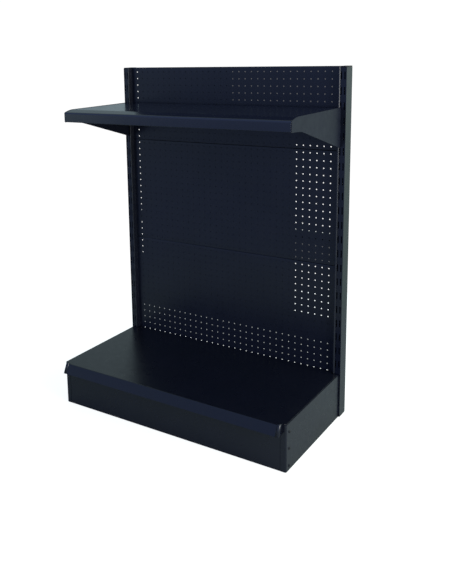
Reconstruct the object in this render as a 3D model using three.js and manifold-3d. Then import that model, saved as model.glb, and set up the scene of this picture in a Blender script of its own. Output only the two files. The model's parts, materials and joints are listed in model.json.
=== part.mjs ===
// A single-sided gondola shelving bay: two slotted uprights, hook-in back panels and rails,
// a deep base shelf on two base legs with a kick plate, and one upper shelf on two brackets.
// Millimetres, +Z up, +X across the bay, and the shopper stands on the -Y side.
// Everything is drawn with y = 0 on the face of the back panels and is centred at the end.
import * as THREE from "three";
import { mergeVertices } from "three/addons/utils/BufferGeometryUtils.js";
import Module from "manifold-3d";

// Overall sizes.
const bayHalfWidth = 455;
const totalHeight = 1230;
const touchGap = 0.3;

// Uprights: a 25 x 50 tube with two columns of slots in its front wall.
const uprightWidth = 25;
const uprightDepth = 50;
const uprightWall = 2;
const uprightFront = -15;
const uprightBack = uprightFront + uprightDepth;
const uprightInner = bayHalfWidth - uprightWidth;
const uprightCentreX = bayHalfWidth - uprightWidth / 2;
const uprightCentreY = (uprightFront + uprightBack) / 2;
const uprightBottom = 5.3;
const capPlate = 4;
const uprightTop = totalHeight - capPlate - touchGap;
const slotPitch = 50;
const slotHeight = 25;
const slotWidth = 4;
const slotCount = 24;
const lowestSlot = 37.5;
const bracketSlotX = 437;
const legSlotX = 449;
const plugDepth = 15;

// Folded back panels, which hang on tabs in the inner walls of the uprights.
// Each side edge has a web that comes forward past the upright and a lap over its front.
const panelHalfWidth = 429;
const panelDepth = 15;
const panelSheet = 1;
const panelJoints = [150, 550, 950, 1230];
const tabReach = 7;
const tabHeight = 16;
const tabInset = 60;
const panelTabY = 8;
const lapInner = 428.3;
const lapOuter = 434.8;
const lapFront = -20;
const lapBottom = 165;

// Cross rails behind the panels.
const railFront = 17;
const railDepth = 15;
const railHeight = 40;
const railWall = 1.5;
const railCentres = [110, 635, 1035];
const railTabY = 24;

// Base: side legs, kick plate and deck.
const baseTop = 163;
const floorClear = 3;
const legOuter = 450;
const legSheet = 2;
const legTop = 161.5;
const legFront = -437;
const legFlange = 20;
const legBend = 6;
const legTopFlange = 15;
const legTopFlangeZ = 160;
const sheet = 1.2;
const kickHalfWidth = 429;
const kickTop = 126;
const kickDepth = 14;
const deckHalfWidth = 447.5;
const deckSideRear = lapFront - 1;
const deckRear = -1.5;
const deckRearFlange = 22;
const noseHalfWidth = 436;
const noseFront = -465;
const noseBottom = 130;
const noseReturn = 12;

// Screws that hold the kick plate's bracket to each leg.
const screwY = -415;
const screwHeights = [17.5, 76, 132];
const screwRadius = 2.4;
const screwHoleRadius = 3;
const screwHeadRadius = 4.5;
const screwHeadHeight = 2;

// Levelling feet.
const frontFootX = 430;
const frontFootY = -384;
const studRadius = 4;
const studHoleRadius = 4.6;
const frontPadRadius = 16;
const rearPadRadius = 11;
const footBracketZ = 28;

// Upper shelf and its brackets.
const shelfTop = 1095;
const shelfFront = -390;
const shelfLipBottom = 1053;
const shelfRear = -21;
const shelfHalfWidth = 434;
const shelfFlangeBottom = 1070;
const bracketInner = 436;
const bracketSheet = 2;
const bracketHookSlots = [19, 20, 21];
const legHookSlots = [0, 2];
const hookDrop = 8;
const hookNeck = 8;

const wasm = await Module();
wasm.setup();

// Colours and finishes.
const finish = {
  powderCoat: new THREE.MeshStandardMaterial({ color: 0x10131f, roughness: 0.35, metalness: 0.1 }),
  plastic: new THREE.MeshStandardMaterial({ color: 0x0b0c0e, roughness: 0.55, metalness: 0 }),
  blackScrew: new THREE.MeshStandardMaterial({ color: 0x14151a, roughness: 0.4, metalness: 0.8 }),
  zinc: new THREE.MeshStandardMaterial({ color: 0xb4b7b8, roughness: 0.35, metalness: 0.9 }),
};

// A box between two limits on each axis.
function box(x, y, z) {
  const geometry = new THREE.BoxGeometry(x[1] - x[0], y[1] - y[0], z[1] - z[0]);
  return geometry.translate((x[0] + x[1]) / 2, (y[0] + y[1]) / 2, (z[0] + z[1]) / 2);
}

// An upright cylinder that stands on z0.
function post(radius, x, y, z0, z1, sides = 20) {
  const geometry = new THREE.CylinderGeometry(radius, radius, z1 - z0, sides);
  return geometry.rotateX(Math.PI / 2).translate(x, y, (z0 + z1) / 2);
}

// A cylinder along X.
function pinX(radius, x0, x1, y, z, sides = 16) {
  const geometry = new THREE.CylinderGeometry(radius, radius, x1 - x0, sides);
  return geometry.rotateZ(Math.PI / 2).translate((x0 + x1) / 2, y, z);
}

function toSolid(geometry) {
  const bare = geometry.clone();
  bare.deleteAttribute("normal");
  bare.deleteAttribute("uv");
  const merged = mergeVertices(bare, 1e-3);
  return new wasm.Manifold(
    new wasm.Mesh({
      numProp: 3,
      vertProperties: merged.attributes.position.array,
      triVerts: new Uint32Array(merged.index.array),
    }),
  );
}

function toGeometry(solid) {
  const mesh = solid.getMesh();
  const geometry = new THREE.BufferGeometry();
  geometry.setAttribute("position", new THREE.BufferAttribute(mesh.vertProperties, 3));
  geometry.setIndex(new THREE.BufferAttribute(mesh.triVerts, 1));
  geometry.computeVertexNormals();
  return geometry;
}

// Joins the first list of shapes and cuts the second list out of them.
function combine(joined, cut = []) {
  let solid = toSolid(joined[0]);
  for (const shape of joined.slice(1)) {
    solid = solid.add(toSolid(shape));
  }
  for (const shape of cut) {
    solid = solid.subtract(toSolid(shape));
  }
  return toGeometry(solid);
}

// Points of a rounded corner of a path, from the leg that comes in to the leg that goes out.
function roundCorner(before, corner, after, radius, steps = 4) {
  const into = before.clone().sub(corner).normalize();
  const out = after.clone().sub(corner).normalize();
  const halfAngle = Math.acos(into.dot(out)) / 2;
  const reach = radius / Math.tan(halfAngle);
  const start = corner.clone().addScaledVector(into, reach);
  const end = corner.clone().addScaledVector(out, reach);
  return new THREE.QuadraticBezierCurve(start, corner.clone(), end).getPoints(steps);
}

// A bent sheet's section: its outer line with rounded bends, and the same line one thickness in.
function bentSheet(corners, radii, thickness) {
  const path = corners.map(([u, v]) => new THREE.Vector2(u, v));
  const outer = path.flatMap((point, i) => {
    if (i === 0 || i === path.length - 1 || !radii[i]) {
      return [point];
    }
    return roundCorner(path[i - 1], point, path[i + 1], radii[i]);
  });
  const inner = outer.map((point, i) => {
    const back = outer[Math.max(i - 1, 0)];
    const ahead = outer[Math.min(i + 1, outer.length - 1)];
    const normalIn = point === back ? ahead.clone().sub(point) : point.clone().sub(back);
    const normalOut = point === ahead ? normalIn.clone() : ahead.clone().sub(point);
    const a = new THREE.Vector2(-normalIn.y, normalIn.x).normalize();
    const b = new THREE.Vector2(-normalOut.y, normalOut.x).normalize();
    const mitre = a.add(b).normalize();
    return point.clone().addScaledVector(mitre, thickness / mitre.dot(b));
  });
  return new THREE.Shape([...outer, ...inner.reverse()]);
}

// Extrudes a section drawn in (y, z) along X.
function alongX(shape, x0, x1) {
  const geometry = new THREE.ExtrudeGeometry(shape, { depth: x1 - x0, bevelEnabled: false });
  const turn = new THREE.Matrix4().makeBasis(
    new THREE.Vector3(0, 1, 0),
    new THREE.Vector3(0, 0, 1),
    new THREE.Vector3(1, 0, 0),
  );
  return geometry.applyMatrix4(turn).translate(x0, 0, 0);
}

// Extrudes a plan drawn in (x, y) upwards.
function upwards(shape, z0, z1) {
  const geometry = new THREE.ExtrudeGeometry(shape, { depth: z1 - z0, bevelEnabled: false });
  return geometry.translate(0, 0, z0);
}

const group = new THREE.Group();

function addPiece(name, geometry, material, side = 1) {
  const mesh = new THREE.Mesh(geometry, material);
  mesh.name = name;
  mesh.scale.x = side;
  group.add(mesh);
}

// Adds a right-hand piece and its mirror image.
function addPair(name, geometry, material) {
  addPiece(name + "_right", geometry, material, 1);
  addPiece(name + "_left", geometry, material, -1);
}

function slotBottom(index) {
  return lowestSlot + slotPitch * index;
}

// The height ranges of the tabs on one panel's side flange.
function panelTabRanges(bottom, top) {
  const centres = [bottom + tabInset, top - tabInset];
  return centres.map((z) => [z - tabHeight / 2, z + tabHeight / 2]);
}

// The tab's own sheet, and the slot it hangs in.
function tabShape(y, z) {
  return box([panelHalfWidth - panelSheet, panelHalfWidth + tabReach], [y, y + 1.2], z);
}

function tabSlot(y, z) {
  return box([uprightInner - 1, uprightInner + uprightWall + 0.5], [y - 1, y + 3], [z[0] - 4, z[1] + 2]);
}

function uprightGeometry() {
  const outer = box([uprightInner, bayHalfWidth], [uprightFront, uprightBack], [uprightBottom, uprightTop]);
  const core = box(
    [uprightInner + uprightWall, bayHalfWidth - uprightWall],
    [uprightFront + uprightWall, uprightBack - uprightWall],
    [uprightBottom - 1, uprightTop + 1],
  );
  const cuts = [core];
  for (let index = 0; index < slotCount; index += 1) {
    for (const x of [bracketSlotX, legSlotX]) {
      cuts.push(
        box(
          [x - slotWidth / 2, x + slotWidth / 2],
          [uprightFront - 1, uprightFront + uprightWall + 0.5],
          [slotBottom(index), slotBottom(index) + slotHeight],
        ),
      );
    }
  }
  for (let i = 0; i + 1 < panelJoints.length; i += 1) {
    for (const range of panelTabRanges(panelJoints[i], panelJoints[i + 1])) {
      cuts.push(tabSlot(panelTabY, range));
    }
  }
  for (const centre of railCentres) {
    cuts.push(tabSlot(railTabY, [centre - tabHeight / 2, centre + tabHeight / 2]));
  }
  return combine([outer], cuts);
}

// A plastic cap with a plug that fills the end of the tube, on the plate's lower side.
function capGeometry() {
  const plate = box([uprightInner, bayHalfWidth], [uprightFront, uprightBack], [totalHeight - capPlate, totalHeight]);
  const fit = uprightWall + touchGap;
  const plug = box(
    [uprightInner + fit, bayHalfWidth - fit],
    [uprightFront + fit, uprightBack - fit],
    [uprightTop - plugDepth, totalHeight - capPlate + 1],
  );
  return combine([plate, plug]);
}

// The foot insert: a plate under the tube, a plug in it, and a threaded hole for the stud.
function footInsertGeometry() {
  const plateBottom = 3.3;
  const fit = uprightWall + touchGap;
  const plateTop = uprightBottom - touchGap;
  const plate = box([uprightInner, bayHalfWidth], [uprightFront, uprightBack], [plateBottom, plateTop]);
  const plug = box(
    [uprightInner + fit, bayHalfWidth - fit],
    [uprightFront + fit, uprightBack - fit],
    [plateTop - 1, uprightBottom + 10],
  );
  const hole = post(studHoleRadius, uprightCentreX, uprightCentreY, 0, uprightBottom + 12);
  return combine([plate, plug], [hole]);
}

function backPanelGeometry(bottom, top) {
  const low = bottom + touchGap / 2;
  const high = top - touchGap / 2;
  const pan = box([-panelHalfWidth, panelHalfWidth], [0, panelDepth], [low, high]);
  const hollow = box(
    [-panelHalfWidth + panelSheet, panelHalfWidth - panelSheet],
    [panelSheet, panelDepth + 1],
    [low + panelSheet, high - panelSheet],
  );
  const tabs = panelTabRanges(bottom, top).flatMap((range) => {
    const right = tabShape(panelTabY, range);
    return [right, tabShape(panelTabY, range).rotateZ(Math.PI).translate(0, 2 * panelTabY + 1.2, 0)];
  });
  const lapZ = [Math.max(low, lapBottom), high];
  const laps = [-1, 1].flatMap((side) => {
    const across = (a, b) => [side * a, side * b].sort((p, q) => p - q);
    const web = box(across(lapInner, lapInner + panelSheet), [lapFront, panelSheet / 2], lapZ);
    const lap = box(across(lapInner, lapOuter), [lapFront, uprightFront - touchGap], lapZ);
    return [web, lap];
  });
  const tray = toSolid(pan).subtract(toSolid(hollow));
  return toGeometry([...tabs, ...laps].reduce((solid, piece) => solid.add(toSolid(piece)), tray));
}

function railGeometry(centre) {
  const z = [centre - railHeight / 2, centre + railHeight / 2];
  const tube = box([-panelHalfWidth, panelHalfWidth], [railFront, railFront + railDepth], z);
  const core = box(
    [-panelHalfWidth - 1, panelHalfWidth + 1],
    [railFront + railWall, railFront + railDepth - railWall],
    [z[0] + railWall, z[1] - railWall],
  );
  const endRange = [centre - tabHeight / 2, centre + tabHeight / 2];
  const tongue = (side) => {
    const inner = side * (panelHalfWidth - 20);
    const outer = side * (panelHalfWidth + tabReach);
    const z2 = [z[0] + 1, z[1] - 1];
    const root = box(
      [Math.min(inner, side * panelHalfWidth), Math.max(inner, side * panelHalfWidth)],
      [railTabY, railTabY + 1.2],
      z2,
    );
    const tip = box([Math.min(inner, outer), Math.max(inner, outer)], [railTabY, railTabY + 1.2], endRange);
    return [root, tip];
  };
  const hollowTube = toSolid(tube).subtract(toSolid(core));
  const tongues = [...tongue(1), ...tongue(-1)];
  return toGeometry(tongues.reduce((solid, piece) => solid.add(toSolid(piece)), hollowTube));
}

// A hook on a plate's rear edge: a neck through the slot and a tongue behind the upright's wall.
function hookShapes(plateX, index) {
  const z0 = slotBottom(index) + 0.4;
  const tongueFront = uprightFront + uprightWall + touchGap;
  const neck = box(plateX, [uprightFront - 4, tongueFront + 5], [z0, z0 + hookNeck]);
  const tongue = box(plateX, [tongueFront, tongueFront + 5], [z0 - hookDrop, z0 + hookNeck]);
  return [neck, tongue];
}

function legGeometry() {
  const rear = uprightFront - touchGap;
  const plan = bentSheet(
    [
      [legOuter - legFlange, legFront],
      [legOuter, legFront],
      [legOuter, rear],
    ],
    [0, legBend, 0],
    legSheet,
  );
  const plateX = [legOuter - legSheet, legOuter];
  const topFlange = box(
    [legOuter - legTopFlange - legSheet, legOuter - 1],
    [legFront + 3, rear - 2],
    [legTopFlangeZ, legTopFlangeZ + 1.5],
  );
  const bottomFlange = box([legOuter - legTopFlange, legOuter - 1], [-360, -50], [floorClear, floorClear + 2]);
  const hooks = legHookSlots.flatMap((index) => hookShapes(plateX, index));
  const holes = screwHeights.map((z) => pinX(screwHoleRadius, legOuter - 4, legOuter + 1, screwY, z));
  return combine([upwards(plan, floorClear, legTop), topFlange, bottomFlange, ...hooks], holes);
}

// The kick plate's bracket: one wing screwed to the leg, and one that the plate's ends butt on.
function kickBracketGeometry() {
  const wallX = legOuter - legSheet - touchGap;
  const stopFront = legFront + kickDepth + touchGap;
  const height = [8, 118];
  const wall = box([wallX - 1.4, wallX], [legFront + 7, -405], height);
  const stop = box([kickHalfWidth - 6, wallX - 0.5], [stopFront, stopFront + 1.4], height);
  const low = screwHeights.filter((z) => z < height[1]);
  const holes = low.map((z) => pinX(screwHoleRadius, wallX - 4, wallX + 1, screwY, z));
  return combine([wall, stop], holes);
}

// The front rail ties the two legs together under the front of the deck, open at its rear.
function frontRailGeometry() {
  const halfWidth = legOuter - legSheet - touchGap;
  const front = legFront + 6.5;
  const z = [kickTop + 1, legTopFlangeZ - 0.5];
  const rail = box([-halfWidth, halfWidth], [front, -405], z);
  const hollow = box(
    [-halfWidth + sheet, halfWidth - sheet],
    [front + sheet, -404],
    [z[0] + sheet, z[1] - sheet],
  );
  const screwHole = pinX(screwHoleRadius, -halfWidth - 1, halfWidth + 1, screwY, screwHeights[2]);
  return combine([rail], [hollow, screwHole]);
}

function screwGeometry(z) {
  const headBack = legOuter + touchGap;
  const head = pinX(screwHeadRadius, headBack, headBack + screwHeadHeight, screwY, z, 20);
  const shank = pinX(screwRadius, headBack - 9, headBack + 1, screwY, z);
  return combine([head, shank]);
}

function footBracketGeometry() {
  const wallX = legOuter - legSheet - touchGap;
  const y = [frontFootY - 16, frontFootY + 16];
  const wing = box([frontFootX - 14, wallX], y, [footBracketZ, footBracketZ + 3]);
  const wall = box([wallX - 2, wallX], y, [footBracketZ, footBracketZ + 45]);
  const hole = post(studHoleRadius, frontFootX, frontFootY, footBracketZ - 1, footBracketZ + 4);
  return combine([wing, wall], [hole]);
}

// A low plastic glide pad.
function padGeometry(radius, height, x, y) {
  const profile = [
    new THREE.Vector2(0, 0),
    new THREE.Vector2(radius - 1, 0),
    new THREE.Vector2(radius, 1),
    new THREE.Vector2(radius, height - 1.5),
    new THREE.Vector2(radius - 1.5, height),
    new THREE.Vector2(0, height),
  ];
  return new THREE.LatheGeometry(profile, 28).rotateX(Math.PI / 2).translate(x, y, 0);
}

// A stud over its pad, with a hexagon for the spanner where there is room for one.
function studGeometry(x, y, z0, z1, hexagon) {
  const shank = post(studRadius, x, y, z0, z1, 16);
  return hexagon ? combine([shank, post(6.5, x, y, z0, z0 + 6, 6)]) : combine([shank]);
}

function deckGeometry() {
  const bottom = baseTop - sheet;
  const frontEdge = legFront + legSheet + touchGap;
  const cornerCut = 6.5;
  const plan = new THREE.Shape();
  plan.moveTo(-deckHalfWidth, deckSideRear);
  plan.lineTo(-deckHalfWidth, frontEdge + cornerCut);
  plan.lineTo(-deckHalfWidth + cornerCut, frontEdge);
  plan.lineTo(deckHalfWidth - cornerCut, frontEdge);
  plan.lineTo(deckHalfWidth, frontEdge + cornerCut);
  plan.lineTo(deckHalfWidth, deckSideRear);
  plan.closePath();
  const top = upwards(plan, bottom, baseTop);
  const between = box(
    [-panelHalfWidth + 1, panelHalfWidth - 1],
    [deckSideRear - 2, deckRear],
    [bottom, baseTop],
  );
  const rearFlange = box(
    [-panelHalfWidth + 1, panelHalfWidth - 1],
    [deckRear - sheet, deckRear],
    [baseTop - deckRearFlange, baseTop],
  );
  const nose = bentSheet(
    [
      [frontEdge + 10, baseTop],
      [-449, baseTop],
      [noseFront, noseBottom],
      [noseFront + noseReturn, noseBottom],
    ],
    [0, 7, 0, 0],
    sheet,
  );
  return combine([top, between, rearFlange, alongX(nose, -noseHalfWidth, noseHalfWidth)]);
}

// A shallow channel, open at the top, under a shelf's sheet.
function stiffenerGeometry(halfLength, centreY, z) {
  const halfDepth = 20;
  const channel = box([-halfLength, halfLength], [centreY - halfDepth, centreY + halfDepth], z);
  const hollow = box(
    [-halfLength - 1, halfLength + 1],
    [centreY - halfDepth + sheet, centreY + halfDepth - sheet],
    [z[0] + sheet, z[1] + 1],
  );
  return combine([channel], [hollow]);
}

function kickGeometry() {
  const pan = box([-kickHalfWidth, kickHalfWidth], [legFront, legFront + kickDepth], [floorClear, kickTop]);
  const hollow = box(
    [-kickHalfWidth + sheet, kickHalfWidth - sheet],
    [legFront + sheet, legFront + kickDepth + 1],
    [floorClear + sheet, kickTop - sheet],
  );
  return combine([pan], [hollow]);
}

function shelfGeometry() {
  const section = bentSheet(
    [
      [shelfRear, shelfFlangeBottom],
      [shelfRear, shelfTop],
      [-352, shelfTop],
      [shelfFront, 1087],
      [shelfFront, shelfLipBottom],
      [shelfFront + 12, shelfLipBottom],
    ],
    [0, 2, 12, 8, 2, 0],
    sheet,
  );
  const flange = (side) => {
    const inner = side * (shelfHalfWidth - sheet);
    const outer = side * shelfHalfWidth;
    return box(
      [Math.min(inner, outer), Math.max(inner, outer)],
      [-350, shelfRear - 0.5],
      [shelfFlangeBottom, shelfTop - 0.6],
    );
  };
  return combine([alongX(section, -shelfHalfWidth, shelfHalfWidth), flange(1), flange(-1)]);
}

// A tapered bracket plate with three hooks and an inward ledge that the shelf sits on.
function bracketGeometry() {
  const rear = uprightFront - touchGap;
  const outline = new THREE.Shape();
  outline.moveTo(rear, shelfTop + 1);
  outline.lineTo(-345, shelfTop + 0.5);
  outline.quadraticCurveTo(-372, shelfTop - 1, shelfFront + 1, 1086);
  outline.lineTo(shelfFront + 1, shelfLipBottom + 1);
  outline.lineTo(shelfFront + 3, shelfLipBottom - 1);
  outline.quadraticCurveTo(-335, shelfLipBottom - 2, -315, shelfLipBottom - 6);
  outline.lineTo(rear, 962);
  outline.closePath();
  const plateX = [bracketInner, bracketInner + bracketSheet];
  const ledgeTop = shelfFlangeBottom - touchGap;
  const ledge = box([bracketInner - 12, bracketInner + 1], [-345, -25], [ledgeTop - 1.5, ledgeTop]);
  const hooks = bracketHookSlots.flatMap((index) => hookShapes(plateX, index));
  return combine([alongX(outline, plateX[0], plateX[1]), ledge, ...hooks]);
}

addPair("upright", uprightGeometry(), finish.powderCoat);
addPair("upright_cap", capGeometry(), finish.plastic);
addPair("foot_insert", footInsertGeometry(), finish.plastic);

["lower", "middle", "upper"].forEach((place, i) => {
  addPiece("back_panel_" + place, backPanelGeometry(panelJoints[i], panelJoints[i + 1]), finish.powderCoat);
  addPiece("cross_rail_" + place, railGeometry(railCentres[i]), finish.powderCoat);
});

addPair("base_leg", legGeometry(), finish.powderCoat);
addPair("kick_bracket", kickBracketGeometry(), finish.zinc);
["low", "mid", "high"].forEach((place, i) => {
  addPair("kick_screw_" + place, screwGeometry(screwHeights[i]), finish.blackScrew);
});
addPiece("front_rail", frontRailGeometry(), finish.powderCoat);
addPair("foot_bracket", footBracketGeometry(), finish.zinc);

const padHeight = 6;
const glideHeight = 3;
addPair("front_pad", padGeometry(frontPadRadius, padHeight, frontFootX, frontFootY), finish.plastic);
addPair("rear_pad", padGeometry(rearPadRadius, glideHeight, uprightCentreX, uprightCentreY), finish.plastic);
addPair("front_stud", studGeometry(frontFootX, frontFootY, padHeight + touchGap, 60, true), finish.zinc);
addPair(
  "rear_stud",
  studGeometry(uprightCentreX, uprightCentreY, glideHeight + touchGap, 50, false),
  finish.zinc,
);

addPiece("base_deck", deckGeometry(), finish.powderCoat);
addPiece(
  "deck_stiffener",
  stiffenerGeometry(425, -215, [141, baseTop - sheet - touchGap]),
  finish.powderCoat,
);
addPiece("kick_plate", kickGeometry(), finish.powderCoat);
addPiece("upper_shelf", shelfGeometry(), finish.powderCoat);
addPiece(
  "shelf_stiffener",
  stiffenerGeometry(422, -195, [1068, shelfTop - sheet - touchGap]),
  finish.powderCoat,
);
addPair("shelf_bracket", bracketGeometry(), finish.powderCoat);

// The nose and the backs of the uprights are the ends of the depth, so their middle is the origin.
group.position.y = -(noseFront + uprightBack) / 2;

export default group;
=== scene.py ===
# The looks of a single-sided gondola shelving bay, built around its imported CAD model.
# Metres, in the CAD model's frame: +Z up, +X across the bay, the shopper stands on the -Y side.
import json
import math

import bmesh
import bpy
from mathutils import Matrix, Vector

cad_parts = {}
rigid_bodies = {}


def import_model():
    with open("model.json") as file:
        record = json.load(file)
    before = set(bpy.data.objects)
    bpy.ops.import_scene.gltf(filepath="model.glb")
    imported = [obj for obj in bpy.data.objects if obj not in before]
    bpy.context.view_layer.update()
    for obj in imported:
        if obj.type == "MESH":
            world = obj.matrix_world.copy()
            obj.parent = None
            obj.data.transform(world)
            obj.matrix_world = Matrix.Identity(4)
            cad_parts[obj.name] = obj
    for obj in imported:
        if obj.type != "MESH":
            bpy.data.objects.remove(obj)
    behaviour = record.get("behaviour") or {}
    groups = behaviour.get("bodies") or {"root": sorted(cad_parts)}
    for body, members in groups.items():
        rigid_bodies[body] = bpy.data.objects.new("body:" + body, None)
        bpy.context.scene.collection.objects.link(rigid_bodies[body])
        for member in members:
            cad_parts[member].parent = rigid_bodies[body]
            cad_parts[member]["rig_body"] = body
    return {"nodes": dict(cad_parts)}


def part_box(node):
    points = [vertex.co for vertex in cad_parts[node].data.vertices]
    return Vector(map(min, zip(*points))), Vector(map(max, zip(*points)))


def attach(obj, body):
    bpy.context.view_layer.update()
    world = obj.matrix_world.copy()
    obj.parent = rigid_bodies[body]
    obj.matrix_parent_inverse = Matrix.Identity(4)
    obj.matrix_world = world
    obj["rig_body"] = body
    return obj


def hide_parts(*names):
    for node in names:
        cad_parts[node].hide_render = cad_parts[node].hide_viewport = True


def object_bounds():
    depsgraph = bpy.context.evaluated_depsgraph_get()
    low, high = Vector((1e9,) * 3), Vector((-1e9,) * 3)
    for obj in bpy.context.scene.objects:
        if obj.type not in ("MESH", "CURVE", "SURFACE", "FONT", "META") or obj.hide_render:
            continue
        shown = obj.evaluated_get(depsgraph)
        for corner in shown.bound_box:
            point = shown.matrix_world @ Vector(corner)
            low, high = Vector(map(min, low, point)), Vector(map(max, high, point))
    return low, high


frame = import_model()
cad_low, cad_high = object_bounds()

MM = 0.001
SHARP = math.radians(32)
NEAR = 0.2 * MM

# Powder paint, as linear colours.
PAINT_DARK = (0.0045, 0.0058, 0.0130)
PAINT_LIGHT = (0.0060, 0.0072, 0.0160)
PAINT_GRAIN = 650
PANEL_ROUGHNESS = (0.30, 0.38)
DRIFT_SCALE = 7
GLOSS_SCALE = 45
GLOSS_DETAIL = 4
BUMP_STRENGTH = 0.35

# Rounded edges and bends: how many facets they have.
EDGE_SEGMENTS = 2
CORNER_SEGMENTS = 4
NOSE_SEGMENTS = 5
BEND_STEPS = 5
LAP_STEPS = 6

# The back panels: a folded tray with a square grid of round holes, and an edge that laps each upright.
PANEL_HALF_WIDTH = 429 * MM
PANEL_SHEET = 1.0 * MM
PANEL_DEPTH = 15 * MM
PANEL_BEND = 2.0 * MM
LAP_INNER = 428.3 * MM
LAP_OUTER = 434.8 * MM
LAP_FRONT = 20 * MM
LAP_REAR = 15.3 * MM
LAP_BEND = 1.0 * MM
LAP_BEAD = 5.5 * MM
LAP_FLARE = 2.5 * MM
LAP_OVER_DECK = 2 * MM
HOLE_PITCH = 25 * MM
HOLE_COLUMNS = 33
HOLE_RADIUS = 2.25 * MM
HOLE_SIDES = 12

# The deck's tongue reaches back between the laps, and its nose has rounded ends.
TONGUE_HALF_WIDTH = 428 * MM
TONGUE_NARROW = 0.991
NOSE_HALF_WIDTH = 436.2 * MM
NOSE_TOP_REACH = 12 * MM
NOSE_OVER_KICK = 4 * MM
NOSE_PROUD = 0.3 * MM
NOSE_END_LENGTH = 12 * MM
NOSE_END_ROUND = 4 * MM
NOSE_SMALL_EDGE = 0.05

# The shelf's ends close up to its brackets.
SHELF_WIDEN = 1.004

# Screws. The head's dome is in shares of its radius and its height, from the rim inwards.
SCREW_HEAD_RADIUS = 4.5 * MM
SCREW_HEAD_HEIGHT = 2.0 * MM
SCREW_DOME = [(1, 1), (1, 0.6), (0.93, 0.28), (0.78, 0.07), (0.6, 0)]
SCREW_SOCKET_RADIUS = 2.1 * MM
SCREW_SOCKET_TAPER = 0.95
SCREW_SOCKET_DEPTH = 1.2 * MM
SCREW_SHANK_RADIUS = 2.4 * MM
SCREW_TIP_RADIUS = 2.0 * MM
SCREW_TIP_LENGTH = 0.6 * MM
SCREW_SIDES = 24

# Levelling feet: M8 studs, the front ones with a spanner hexagon, on moulded glides.
STUD_RADIUS = 4.0 * MM
STUD_SIDES = 20
THREAD_PITCH = 1.25 * MM
THREAD_DEPTH = 0.6 * MM
HEXAGON_RADIUS = 6.4 * MM
HEXAGON_HEIGHT = 6 * MM
HEXAGON_CHAMFER = 0.5 * MM
HEXAGON_TAPER = 0.92
PAD_SIDES = 40
PAD_ROLL = 0.8 * MM
PAD_ROLL_STEPS = 4
PAD_FLAT_INSET = 1.2 * MM
PAD_HOLLOW_SHARE = 0.3
PAD_DISH_SHARE = 0.45
# The pad's shoulder, as an inset from its radius and a share of its height.
PAD_SHOULDER = [(0, 0.55), (1.0 * MM, 0.85), (2.2 * MM, 1)]

# The stage.
FLOOR_RADIUS = 1.5
FLOOR_SIDES = 96
FLOOR_COLOUR = (0.42, 0.45, 0.41)
FLOOR_GLOW = 0.85
# The top of the card over the back, a dark sheet seen only in reflections: a painted dark reflection.
UPPER_CARD_TOP = 1.75

# The cards behind the panels are dark sheets that paint the shade seen through some of the holes, counted
# in rows and columns of holes.
CARD_GAP = 1.6 * MM
OPEN_ROWS = 5
LEFT_DARK_ROWS = 8
RIGHT_DARK_ROWS = 3
RIGHT_FAINT_ROWS = 3
RIGHT_OPEN_FROM = 27
FAINT_FROM = 17
FAINT_CLEARNESS = 0.1
VEIL_CLEARNESS = 0.3

# The room's light, by direction: its dim side in front on the left, and its bright side.
DIM_LOW = (0.13, 0.17, 0.28)
DIM_HIGH_REAR = (0.24, 0.32, 0.36)
DIM_HIGH_FRONT = (0.25, 0.35, 0.68)
BRIGHT_LOW = (0.30, 0.41, 0.35)
BRIGHT_HIGH = (0.80, 0.98, 0.94)
WINDOW = (0.55, 0.70, 0.75)
SEEN_STRENGTH = 1.05

# The camera.
CAMERA_PLACE = (1.3545, -2.1387, 1.3032)
CAMERA_AZIMUTH = math.radians(35.217)
CAMERA_ELEVATION = math.radians(11.029)
CAMERA_ROLL = math.radians(-1.52)
CAMERA_SENSOR = 36
CAMERA_LENS = 45.823
CAMERA_SHIFT_X = 0.113
CAMERA_SHIFT_Y = -0.17


# ---------------------------------------------------------------- materials


def node_material(name):
    """A new material, with its node tree's nodes and links."""
    material = bpy.data.materials.new(name)
    material.use_nodes = True
    return material, material.node_tree.nodes, material.node_tree.links


def add_noise(nodes, links, scale, detail=2.0):
    """A noise texture that lies still on the piece, with about scale grains to the metre."""
    place = nodes.new("ShaderNodeTexCoord")
    noise = nodes.new("ShaderNodeTexNoise")
    noise.inputs["Scale"].default_value = scale
    noise.inputs["Detail"].default_value = detail
    links.new(place.outputs["Object"], noise.inputs["Vector"])
    return noise.outputs["Fac"]


def vary(nodes, links, source, low, high):
    """Maps the middle of a noise's range onto a range of numbers."""
    spread = nodes.new("ShaderNodeMapRange")
    spread.inputs["From Min"].default_value = 0.3
    spread.inputs["From Max"].default_value = 0.7
    spread.inputs["To Min"].default_value = low
    spread.inputs["To Max"].default_value = high
    links.new(source, spread.inputs["Value"])
    return spread.outputs["Result"]


def mixed(nodes, links, factor, first, second):
    """Blends two colours, each a tuple or a socket, by a factor."""
    mix = nodes.new("ShaderNodeMix")
    mix.data_type = "RGBA"
    for name, value in (("A", first), ("B", second)):
        if isinstance(value, tuple):
            mix.inputs[name].default_value = (*value, 1)
        else:
            links.new(value, mix.inputs[name])
    links.new(factor, mix.inputs["Factor"])
    return mix.outputs["Result"]


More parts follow.
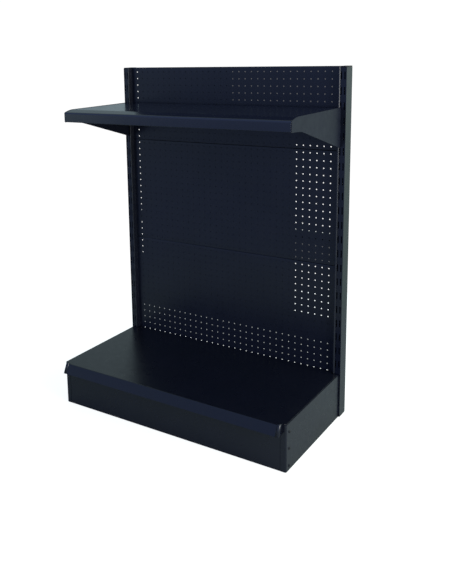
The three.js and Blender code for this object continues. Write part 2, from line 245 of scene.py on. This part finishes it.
def grained(name, dark, light, roughness, grain, depth, metallic=0.0, specular=0.5):
    """A finish with slow colour drift, uneven gloss and a fine grain that is felt in the highlights."""
    material, nodes, links = node_material(name)
    shader = nodes["Principled BSDF"]
    shader.inputs["Metallic"].default_value = metallic
    shader.inputs["Specular IOR Level"].default_value = specular
    drift = vary(nodes, links, add_noise(nodes, links, DRIFT_SCALE), 0, 1)
    links.new(mixed(nodes, links, drift, dark, light), shader.inputs["Base Color"])
    gloss = add_noise(nodes, links, GLOSS_SCALE, GLOSS_DETAIL)
    links.new(vary(nodes, links, gloss, *roughness), shader.inputs["Roughness"])
    bump = nodes.new("ShaderNodeBump")
    bump.inputs["Strength"].default_value = BUMP_STRENGTH
    bump.inputs["Distance"].default_value = depth
    links.new(add_noise(nodes, links, grain), bump.inputs["Height"])
    links.new(bump.outputs["Normal"], shader.inputs["Normal"])
    return material


def powder_coat(name, roughness, painted_light_scale=1.0, specular=0.5, peel=0.05 * MM):
    """Navy-black baked powder paint, with the fine orange peel that it cures with. A brightness scale
    other than 1 gives a lighter or darker copy of the same paint: lighter copies are painted light, darker
    copies are painted shade.
    """
    dark = tuple(channel * painted_light_scale for channel in PAINT_DARK)
    light = tuple(channel * painted_light_scale for channel in PAINT_LIGHT)
    return grained(name, dark, light, roughness, PAINT_GRAIN, peel, specular=specular)


finish = {
    "panel": powder_coat("panel_paint", PANEL_ROUGHNESS),
    "upright": powder_coat("upright_paint", (0.22, 0.30)),
    # The deck's copy of the paint is darkened to half its brightness: painted shade.
    "deck": powder_coat("deck_paint_painted_shade", (0.27, 0.34), painted_light_scale=0.5, peel=0.03 * MM),
    "base": powder_coat("base_paint", (0.26, 0.34)),
    "shelf": powder_coat("shelf_paint", (0.16, 0.22), specular=0.8, peel=0.02 * MM),
    # The brackets' copy of the paint is lightened by 1.3: painted light.
    "bracket": powder_coat("bracket_paint_painted_light", (0.46, 0.56), painted_light_scale=1.3, specular=0.26),
    "plastic": grained(
        "moulded_plastic", (0.008, 0.008, 0.009), (0.012, 0.012, 0.013), (0.45, 0.6), 900, 0.05 * MM
    ),
    "zinc": grained(
        "zinc_plate", (0.52, 0.54, 0.56), (0.66, 0.67, 0.66), (0.28, 0.42), 320, 0.03 * MM, metallic=1.0
    ),
    "screw": grained(
        "black_oxide", (0.03, 0.03, 0.034), (0.05, 0.05, 0.055), (0.32, 0.45), 800, 0.02 * MM, metallic=0.9
    ),
}


# ---------------------------------------------------------------- making pieces


def add_object(name, data):
    """A new object in the scene."""
    thing = bpy.data.objects.new(name, data)
    bpy.context.scene.collection.objects.link(thing)
    return thing


def add_piece(name, mesh, node, material):
    """A new piece that stands for one CAD node, rides on its body and takes its material slot."""
    piece = add_object(name, mesh)
    mesh.materials.clear()
    mesh.materials.append(finish[material])
    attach(piece, frame["nodes"][node]["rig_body"])
    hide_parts(node)
    return piece


def plain_mesh(shell, name):
    """Turns a bmesh into a mesh as it is."""
    mesh = bpy.data.meshes.new(name)
    shell.to_mesh(mesh)
    shell.free()
    return mesh


def finish_shell(shell, name):
    """Turns a bmesh into a mesh with its faces outwards and smooth."""
    bmesh.ops.recalc_face_normals(shell, faces=shell.faces)
    for face in shell.faces:
        face.smooth = True
    return plain_mesh(shell, name)


def add_creased_piece(name, shell, node, material):
    """A piece made of a bmesh, with its sharp edges left sharp."""
    mesh = finish_shell(shell, name)
    mesh.set_sharp_from_angle(angle=SHARP)
    add_piece(name, mesh, node, material)


def round_edges(piece, width, segments):
    """Rounds the edges by their bevel weights, and keeps the flat faces flat in the light."""
    bevel = piece.modifiers.new("rounded_edges", "BEVEL")
    bevel.limit_method = "WEIGHT"
    bevel.width = width
    bevel.segments = segments
    bevel.use_clamp_overlap = True
    normals = piece.modifiers.new("flat_faces", "WEIGHTED_NORMAL")
    normals.keep_sharp = False


def weigh_edges(shell, small, is_large=None):
    """Gives every sharp edge a bevel weight: full for the edges that is_large picks, or else small."""
    weights = shell.edges.layers.float.new("bevel_weight_edge")
    for edge in shell.edges:
        if len(edge.link_faces) == 2 and edge.calc_face_angle(0) > SHARP:
            chosen = is_large is not None and is_large(edge)
            edge[weights] = 1.0 if chosen else small


def soften(node, material, edge=0.5 * MM, corner=None, is_corner=None, widen=None):
    """A finished copy of a CAD node, with its edges rounded as bent and coated steel has them."""
    shell = bmesh.new()
    shell.from_mesh(frame["nodes"][node].data)
    if widen:
        for vert in shell.verts:
            vert.co.x *= widen(vert.co)
    bmesh.ops.remove_doubles(shell, verts=shell.verts, dist=0.01 * MM)
    bmesh.ops.dissolve_limit(shell, angle_limit=math.radians(0.5), verts=shell.verts, edges=shell.edges)
    width = corner or edge
    weigh_edges(shell, edge / width, is_corner)
    name = node + "_shell"
    piece = add_piece(name, finish_shell(shell, name), node, material)
    round_edges(piece, width, CORNER_SEGMENTS if corner else EDGE_SEGMENTS)


def add_band(shell, first, second):
    """Joins two rings of vertices with a closed band of faces."""
    count = len(first)
    for k in range(count):
        ahead = (k + 1) % count
        shell.faces.new((first[k], first[ahead], second[ahead], second[k]))


def add_prism(shell, first, second):
    """Joins two outlines with a band and closes both ends."""
    add_band(shell, first, second)
    shell.faces.new(first)
    shell.faces.new(second)


def turned(shell, profile, centre, sides, along_x=False):
    """Adds a closed turned body: profile is (radius, height) pairs from one end to the other."""
    turn = Matrix.Rotation(math.pi / 2, 3, "Y") if along_x else Matrix.Identity(3)
    rings = []
    for radius, height in profile:
        ring = []
        for k in range(sides):
            angle = 2 * math.pi * k / sides
            point = Vector((radius * math.cos(angle), radius * math.sin(angle), height))
            ring.append(shell.verts.new(centre + turn @ point))
        rings.append(ring)
    for low, high in zip(rings, rings[1:]):
        add_band(shell, low, high)
    shell.faces.new(reversed(rings[0]))
    shell.faces.new(rings[-1])


# ---------------------------------------------------------------- back panels


def grid_lines(low, high, first, count):
    """The lines between the cells of a hole grid, with the face's two edges at the ends."""
    between = [first + HOLE_PITCH * (k + 0.5) for k in range(count - 1)]
    return [low, *between, high]


def pierced_cell(shell, skins, depths, corners, centre):
    """One cell of the sheet: both skins around its round hole, and the hole's wall."""
    towards_first_corner = -0.75 * math.pi
    rings = []
    for y in depths:
        ring = []
        for k in range(HOLE_SIDES):
            angle = 2 * math.pi * k / HOLE_SIDES + towards_first_corner
            x = centre[0] + HOLE_RADIUS * math.cos(angle)
            z = centre[1] + HOLE_RADIUS * math.sin(angle)
            ring.append(shell.verts.new((x, y, z)))
        rings.append(ring)
    quarter = HOLE_SIDES // 4
    for skin, ring in zip(skins, rings):
        for side in range(4):
            start = corners[side]
            end = corners[(side + 1) % 4]
            arc = [ring[(side * quarter + k) % HOLE_SIDES] for k in range(quarter, -1, -1)]
            shell.faces.new([skin[start[0]][start[1]], skin[end[0]][end[1]], *arc])
    add_band(shell, *rings)


def perforated_face(shell, xs, zs, depths, hole_centre):
    """The two skins of the sheet, cell by cell, with a hole where hole_centre gives one."""
    skins = [[[shell.verts.new((x, y, z)) for z in zs] for x in xs] for y in depths]
    for i in range(len(xs) - 1):
        for j in range(len(zs) - 1):
            corners = [(i, j), (i + 1, j), (i + 1, j + 1), (i, j + 1)]
            centre = hole_centre(i, j)
            if centre:
                pierced_cell(shell, skins, depths, corners, centre)
                continue
            for skin in skins:
                shell.faces.new([skin[a][b] for a, b in corners])
    return skins


def folded_rim(shell, skins, xs, zs):
    """Bends the sheet back round the face's rim and folds it to the depth of the panel."""
    last_x = len(xs) - 1
    last_z = len(zs) - 1
    rim = [(i, 0) for i in range(last_x)]
    rim += [(last_x, j) for j in range(last_z)]
    rim += [(i, last_z) for i in range(last_x, 0, -1)]
    rim += [(0, j) for j in range(last_z, 0, -1)]
    y_front = skins[0][0][0].co.y
    path = []
    for k in range(1, BEND_STEPS + 1):
        angle = math.pi / 2 * k / BEND_STEPS
        path.append((PANEL_BEND * math.sin(angle), y_front + PANEL_BEND * (1 - math.cos(angle))))
    path.append((PANEL_BEND, y_front + PANEL_DEPTH))
    path.append((PANEL_BEND - PANEL_SHEET, y_front + PANEL_DEPTH))
    path.append((PANEL_BEND - PANEL_SHEET, y_front + PANEL_BEND))
    loops = [[skins[0][i][j] for i, j in rim]]
    for outward, y in path:
        loop = []
        for i, j in rim:
            x = xs[i] + outward * ((i == last_x) - (i == 0))
            z = zs[j] + outward * ((j == last_z) - (j == 0))
            loop.append(shell.verts.new((x, y, z)))
        loops.append(loop)
    loops.append([skins[1][i][j] for i, j in rim])
    for inner, outer in zip(loops, loops[1:]):
        add_band(shell, inner, outer)


def edge_lap(shell, side, face_y, z0, z1):
    """A web that comes forward beside the upright, and a rounded lap over the upright's front."""
    front = face_y - LAP_FRONT
    rear = face_y - LAP_REAR
    web = LAP_INNER + PANEL_SHEET
    outline = [
        (LAP_INNER - LAP_FLARE, face_y),
        (LAP_INNER, front + LAP_BEND),
        (LAP_INNER + LAP_BEND, front),
    ]
    for k in range(LAP_STEPS + 1):
        angle = math.pi / 2 * k / LAP_STEPS
        x = LAP_OUTER - LAP_BEAD * (1 - math.sin(angle))
        outline.append((x, front + (rear - front) * (1 - math.cos(angle))))
    outline += [(web, rear), (web, face_y)]
    add_prism(shell, *[[shell.verts.new((side * x, y, z)) for x, y in outline] for z in (z0, z1)])


def back_panel(node):
    """One folded panel with all its holes cut right through."""
    low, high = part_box(node)
    face_y = high.y - PANEL_DEPTH
    first_z = low.z + HOLE_PITCH / 2
    rows = round((high.z - low.z) / HOLE_PITCH)
    first_x = -HOLE_PITCH * (HOLE_COLUMNS - 1) / 2
    flat = PANEL_HALF_WIDTH - PANEL_BEND
    margin = first_x - HOLE_PITCH / 2
    xs = [-flat, *grid_lines(margin, -margin, first_x, HOLE_COLUMNS), flat]
    zs = grid_lines(low.z + PANEL_BEND, high.z - PANEL_BEND, first_z, rows)

    def hole_centre(i, j):
        if i in (0, len(xs) - 2):
            return None
        return first_x + HOLE_PITCH * (i - 1), first_z + HOLE_PITCH * j

    shell = bmesh.new()
    skins = perforated_face(shell, xs, zs, (face_y, face_y + PANEL_SHEET), hole_centre)
    folded_rim(shell, skins, xs, zs)
    lap_bottom = max(low.z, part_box("base_deck")[1].z + LAP_OVER_DECK)
    for side in (-1, 1):
        edge_lap(shell, side, face_y, lap_bottom, high.z)
    add_creased_piece(node + "_sheet", shell, node, "panel")


for place in ("lower", "middle", "upper"):
    back_panel("back_panel_" + place)
    soften("cross_rail_" + place, "upright")


# ---------------------------------------------------------------- uprights, base and shelf


def outer_corner(node):
    """Picks the long edges of a tube that run up its outer corners."""
    low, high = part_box(node)

    def chosen(edge):
        a, b = (vert.co for vert in edge.verts)
        if abs(a.x - b.x) > NEAR or abs(a.y - b.y) > NEAR:
            return False
        on_side = min(abs(a.x - low.x), abs(a.x - high.x)) < NEAR
        on_face = min(abs(a.y - low.y), abs(a.y - high.y)) < NEAR
        return on_side and on_face

    return chosen


def narrow_tongue(place):
    """The deck's tongue between the laps is drawn a little narrow, to slide past their flare."""
    on_tongue = abs(abs(place.x) - TONGUE_HALF_WIDTH) < NEAR
    return TONGUE_NARROW if on_tongue else 1.0


for side in ("left", "right"):
    upright = "upright_" + side
    soften(upright, "upright", 0.35 * MM, 2.2 * MM, outer_corner(upright))
    cap = "upright_cap_" + side
    soften(cap, "plastic", 0.8 * MM, 2.0 * MM, outer_corner(cap))
    soften("foot_insert_" + side, "plastic")
    soften("base_leg_" + side, "base", 0.6 * MM)
    soften("kick_bracket_" + side, "zinc", 0.4 * MM)
    soften("foot_bracket_" + side, "zinc", 0.6 * MM)
    soften("shelf_bracket_" + side, "bracket", 0.9 * MM)

soften("front_rail", "base")
soften("base_deck", "deck", widen=narrow_tongue)
soften("deck_stiffener", "deck")
soften("kick_plate", "base", 1.6 * MM)
soften("upper_shelf", "shelf", widen=lambda place: SHELF_WIDEN)
soften("shelf_stiffener", "shelf")


def nose_end(name, side):
    """A rounded closure in one end of the deck's sloping nose."""
    deck_low, deck_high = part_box("base_deck")
    kick_low, kick_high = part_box("kick_plate")
    top = deck_high.z + NOSE_PROUD
    bottom = kick_high.z + NOSE_OVER_KICK
    front = deck_low.y - NOSE_PROUD / 2
    rear = kick_low.y - NOSE_PROUD
    outline = [(rear, top), (kick_low.y - NOSE_TOP_REACH, top), (front, bottom), (rear, bottom)]
    ends = (side * (NOSE_HALF_WIDTH - NOSE_END_LENGTH), side * NOSE_HALF_WIDTH)
    shell = bmesh.new()
    add_prism(shell, *[[shell.verts.new((x, y, z)) for y, z in outline] for x in ends])

    def shows(edge):
        a, b = (vert.co for vert in edge.verts)
        on_front = min(a.y, b.y) < rear - NOSE_PROUD
        outward = min(abs(a.x), abs(b.x)) > NOSE_HALF_WIDTH - NOSE_PROUD
        along = abs(a.x - b.x) > NOSE_PROUD and max(a.z, b.z) > bottom + NOSE_PROUD
        return on_front and (outward or along)

    weigh_edges(shell, NOSE_SMALL_EDGE, shows)
    mesh = finish_shell(shell, name)
    mesh.materials.append(finish["base"])
    piece = add_object(name, mesh)
    round_edges(piece, NOSE_END_ROUND, NOSE_SEGMENTS)
    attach(piece, frame["nodes"]["base_deck"]["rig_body"])


nose_end("nose_end_left", -1)
nose_end("nose_end_right", 1)


# ---------------------------------------------------------------- screws and feet


def kick_screw(node, side):
    """A pan-head socket screw that lies along X with its head outwards."""
    low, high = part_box(node)
    outer_end = Vector((high.x if side > 0 else low.x, (low.y + high.y) / 2, (low.z + high.z) / 2))
    length = high.x - low.x
    profile = [
        (SCREW_TIP_RADIUS, -length),
        (SCREW_SHANK_RADIUS, SCREW_TIP_LENGTH - length),
        (SCREW_SHANK_RADIUS, -SCREW_HEAD_HEIGHT),
    ]
    for across, along in SCREW_DOME:
        profile.append((SCREW_HEAD_RADIUS * across, -SCREW_HEAD_HEIGHT * along))
    profile.append((SCREW_SOCKET_RADIUS, 0))
    profile.append((SCREW_SOCKET_RADIUS * SCREW_SOCKET_TAPER, -SCREW_SOCKET_DEPTH))
    shell = bmesh.new()
    outwards = [(radius, side * height) for radius, height in profile]
    turned(shell, outwards, outer_end, SCREW_SIDES, along_x=True)
    add_creased_piece(node + "_turned", shell, node, "screw")


def levelling_stud(node, has_hexagon):
    """A threaded stud, with a spanner hexagon just over its pad where the foot is wide enough."""
    low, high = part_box(node)
    centre = Vector(((low.x + high.x) / 2, (low.y + high.y) / 2, 0))
    shell = bmesh.new()
    start = low.z
    if has_hexagon:
        start += HEXAGON_HEIGHT
        narrow = HEXAGON_RADIUS * HEXAGON_TAPER
        hexagon = [
            (narrow, low.z),
            (HEXAGON_RADIUS, low.z + HEXAGON_CHAMFER),
            (HEXAGON_RADIUS, start - HEXAGON_CHAMFER),
            (narrow, start),
        ]
        turned(shell, hexagon, centre, 6)
    root = STUD_RADIUS - THREAD_DEPTH
    thread = [(root, start)]
    for k in range(int((high.z - start) / THREAD_PITCH)):
        z = start + THREAD_PITCH * k
        thread.append((STUD_RADIUS, z + THREAD_PITCH * 0.5))
        thread.append((root, z + THREAD_PITCH))
    turned(shell, thread, centre, STUD_SIDES)
    add_creased_piece(node + "_threaded", shell, node, "zinc")


def glide_pad(node):
    """A moulded glide with a rolled edge under a sloping shoulder."""
    low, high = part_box(node)
    centre = Vector(((low.x + high.x) / 2, (low.y + high.y) / 2, low.z))
    radius = (high.x - low.x) / 2
    height = high.z - low.z
    profile = [(radius * PAD_HOLLOW_SHARE, 0), (radius - PAD_FLAT_INSET, 0)]
    for k in range(PAD_ROLL_STEPS + 1):
        angle = math.pi / 2 * k / PAD_ROLL_STEPS - math.pi / 2
        across = radius - PAD_ROLL + PAD_ROLL * math.cos(angle)
        profile.append((across, PAD_ROLL + PAD_ROLL * math.sin(angle)))
    for inset, share in PAD_SHOULDER:
        profile.append((radius - inset, height * share))
    profile.append((radius * PAD_DISH_SHARE, height))
    shell = bmesh.new()
    turned(shell, profile, centre, PAD_SIDES)
    add_creased_piece(node + "_moulded", shell, node, "plastic")


for side, sign in (("left", -1), ("right", 1)):
    for place in ("low", "mid", "high"):
        kick_screw("kick_screw_" + place + "_" + side, sign)
    for end in ("front", "rear"):
        levelling_stud(end + "_stud_" + side, end == "front")
        glide_pad(end + "_pad_" + side)


# ---------------------------------------------------------------- stage, light and camera


def add_floor():
    """A plain pale floor, a little self-lit so that it stays even under the soft light."""
    shell = bmesh.new()
    bmesh.ops.create_circle(shell, cap_ends=True, segments=FLOOR_SIDES, radius=FLOOR_RADIUS)
    floor = add_object("floor", plain_mesh(shell, "floor"))
    material, nodes, links = node_material("floor_paint")
    shader = nodes["Principled BSDF"]
    shader.inputs["Base Color"].default_value = (*FLOOR_COLOUR, 1)
    shader.inputs["Roughness"].default_value = 0.9
    shader.inputs["Specular IOR Level"].default_value = 0.0
    shader.inputs["Emission Color"].default_value = (1, 1, 1, 1)
    path = nodes.new("ShaderNodeLightPath")
    glow = nodes.new("ShaderNodeMath")
    glow.operation = "MULTIPLY"
    glow.inputs[1].default_value = FLOOR_GLOW
    links.new(path.outputs["Is Camera Ray"], glow.inputs[0])
    links.new(glow.outputs["Value"], shader.inputs["Emission Strength"])
    floor.data.materials.append(material)


def add_card(name, rectangles, y, clearness=0.0):
    """A flat card, drawn in X and Z and painted like the panels: a dark sheet used as painted shade behind
    holes and as a painted dark reflection over the back.
    """
    shell = bmesh.new()
    for x0, x1, z0, z1 in rectangles:
        corners = [(x0, y, z0), (x1, y, z0), (x1, y, z1), (x0, y, z1)]
        shell.faces.new([shell.verts.new(corner) for corner in corners])
    card = add_object(name, plain_mesh(shell, name))
    paint = powder_coat(name + "_paint", PANEL_ROUGHNESS)
    paint.node_tree.nodes["Principled BSDF"].inputs["Alpha"].default_value = 1 - clearness
    card.data.materials.append(paint)
    return card


def columns(first, last):
    """The limits in X of a run of hole columns, which count from 0 at the left."""
    left = -HOLE_PITCH * HOLE_COLUMNS / 2
    return left + HOLE_PITCH * first, left + HOLE_PITCH * (last + 1)


def add_painted_shade_cards():
    """Cards close behind some of the holes, painted shade that makes those holes look dark or faint, and
    one over the back.

    The lowest rows have only a veil behind them. Most of the outer left column and of the
    columns at the right has nothing behind it. The card over the back is seen in reflections only, as a
    painted dark reflection.
    """
    lower_low, lower_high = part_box("back_panel_lower")
    lower_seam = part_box("back_panel_middle")[0].z
    upper_seam, top = (corner.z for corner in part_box("back_panel_upper"))
    deck_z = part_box("base_deck")[1].z
    shelf_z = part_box("upper_shelf")[1].z
    open_top = lower_low.z + OPEN_ROWS * HOLE_PITCH
    face_y = lower_high.y - PANEL_DEPTH
    last = HOLE_COLUMNS - 1
    right = columns(RIGHT_OPEN_FROM, last)
    dark = [
        (*columns(1, RIGHT_OPEN_FROM - 1), open_top, shelf_z),
        (*columns(1, FAINT_FROM - 1), shelf_z, top),
        (*columns(0, 0), open_top, open_top + LEFT_DARK_ROWS * HOLE_PITCH),
        (*right, open_top, open_top + RIGHT_DARK_ROWS * HOLE_PITCH),
        (*right, upper_seam + HOLE_PITCH, shelf_z),
    ]
    faint = [
        (*columns(FAINT_FROM, last), shelf_z, top),
        (*right, lower_seam, lower_seam + RIGHT_FAINT_ROWS * HOLE_PITCH),
    ]
    veil = [(*columns(0, last), deck_z, open_top)]
    # The dark, faint and veil cards are painted shade: dark sheets behind the holes where shade is seen
    # through them.
    add_card("painted_shade_card", dark, face_y + CARD_GAP)
    add_card("painted_faint_shade_card", faint, face_y + CARD_GAP, FAINT_CLEARNESS)
    add_card("painted_veil_shade_card", veil, face_y + CARD_GAP, VEIL_CLEARNESS)
    # The card over the back is a painted dark reflection, hidden from the camera and casting no shadow.
    over = [(cad_low.x, cad_high.x, cad_high.z, UPPER_CARD_TOP)]
    upper = add_card("painted_dark_reflection_card", over, face_y)
    upper.visible_camera = False
    upper.visible_shadow = False


def direction_factor(nodes, links, aim, low, high):
    """How far a direction of the room is turned towards aim, from 0 to 1."""
    place = nodes.new("ShaderNodeTexCoord")
    dot = nodes.new("ShaderNodeVectorMath")
    dot.operation = "DOT_PRODUCT"
    dot.inputs[1].default_value = Vector(aim).normalized()
    links.new(place.outputs["Generated"], dot.inputs[0])
    spread = nodes.new("ShaderNodeMapRange")
    spread.interpolation_type = "SMOOTHSTEP"
    spread.inputs["From Min"].default_value = low
    spread.inputs["From Max"].default_value = high
    links.new(dot.outputs["Value"], spread.inputs["Value"])
    return spread.outputs["Result"]


def add_world():
    """A room that the camera sees white, and that lights the part from its bright right side."""
    world = bpy.data.worlds.new("studio")
    world.use_nodes = True
    bpy.context.scene.world = world
    nodes = world.node_tree.nodes
    links = world.node_tree.links
    seen = nodes["Background"]
    seen.inputs["Color"].default_value = (1, 1, 1, 1)
    seen.inputs["Strength"].default_value = SEEN_STRENGTH
    lit = nodes.new("ShaderNodeBackground")
    sideways = direction_factor(nodes, links, (0.85, 0.50, 0.0), -0.45, 0.75)
    upwards = direction_factor(nodes, links, (0, 0, 1), -0.40, 0.35)
    frontwards = direction_factor(nodes, links, (0, -1, 0), -0.3, 0.4)
    at_window = direction_factor(nodes, links, (-0.8, -0.6, 0.0), 0.955, 0.99)
    dim_high = mixed(nodes, links, frontwards, DIM_HIGH_REAR, DIM_HIGH_FRONT)
    dim = mixed(nodes, links, upwards, DIM_LOW, dim_high)
    bright = mixed(nodes, links, upwards, BRIGHT_LOW, BRIGHT_HIGH)
    room = mixed(nodes, links, sideways, dim, bright)
    links.new(mixed(nodes, links, at_window, room, WINDOW), lit.inputs["Color"])
    path = nodes.new("ShaderNodeLightPath")
    choose = nodes.new("ShaderNodeMixShader")
    links.new(path.outputs["Is Camera Ray"], choose.inputs["Fac"])
    links.new(lit.outputs["Background"], choose.inputs[1])
    links.new(seen.outputs["Background"], choose.inputs[2])
    links.new(choose.outputs["Shader"], nodes["World Output"].inputs["Surface"])


def add_softbox(name, place, aim, size, power):
    """A rectangular lamp at place that faces aim."""
    light = bpy.data.lights.new(name, "AREA")
    light.shape = "RECTANGLE"
    light.size, light.size_y = size
    light.energy = power
    holder = add_object(name, light)
    holder.location = place
    holder.rotation_euler = (Vector(aim) - Vector(place)).to_track_quat("-Z", "Y").to_euler()


def add_camera():
    """Eye height, to the right of the bay, turned back to its left with the lens shifted down."""
    outward = math.cos(CAMERA_ELEVATION)
    back = Vector(
        (
            math.sin(CAMERA_AZIMUTH) * outward,
            -math.cos(CAMERA_AZIMUTH) * outward,
            math.sin(CAMERA_ELEVATION),
        )
    )
    level = Vector((math.cos(CAMERA_AZIMUTH), math.sin(CAMERA_AZIMUTH), 0))
    right = level * math.cos(CAMERA_ROLL) + back.cross(level) * math.sin(CAMERA_ROLL)
    up = back.cross(right)
    camera = bpy.data.cameras.new("camera")
    camera.sensor_width = CAMERA_SENSOR
    camera.lens = CAMERA_LENS
    camera.shift_x = CAMERA_SHIFT_X
    camera.shift_y = CAMERA_SHIFT_Y
    holder = add_object("camera", camera)
    turn = Matrix((right, up, back)).transposed()
    holder.matrix_world = Matrix.Translation(CAMERA_PLACE) @ turn.to_4x4()
    bpy.context.scene.camera = holder


add_floor()
add_painted_shade_cards()
add_world()
add_softbox("softbox_right", place=(3.2, 0.6, 1.9), aim=(0.4, 0.1, 0.7), size=(1.6, 2.2), power=25)
add_softbox("softbox_edge", place=(2.6, -0.9, 1.2), aim=(0.44, 0.2, 1.0), size=(1.0, 1.2), power=36)
add_camera()
bpy.context.scene.view_settings.view_transform = "Standard"
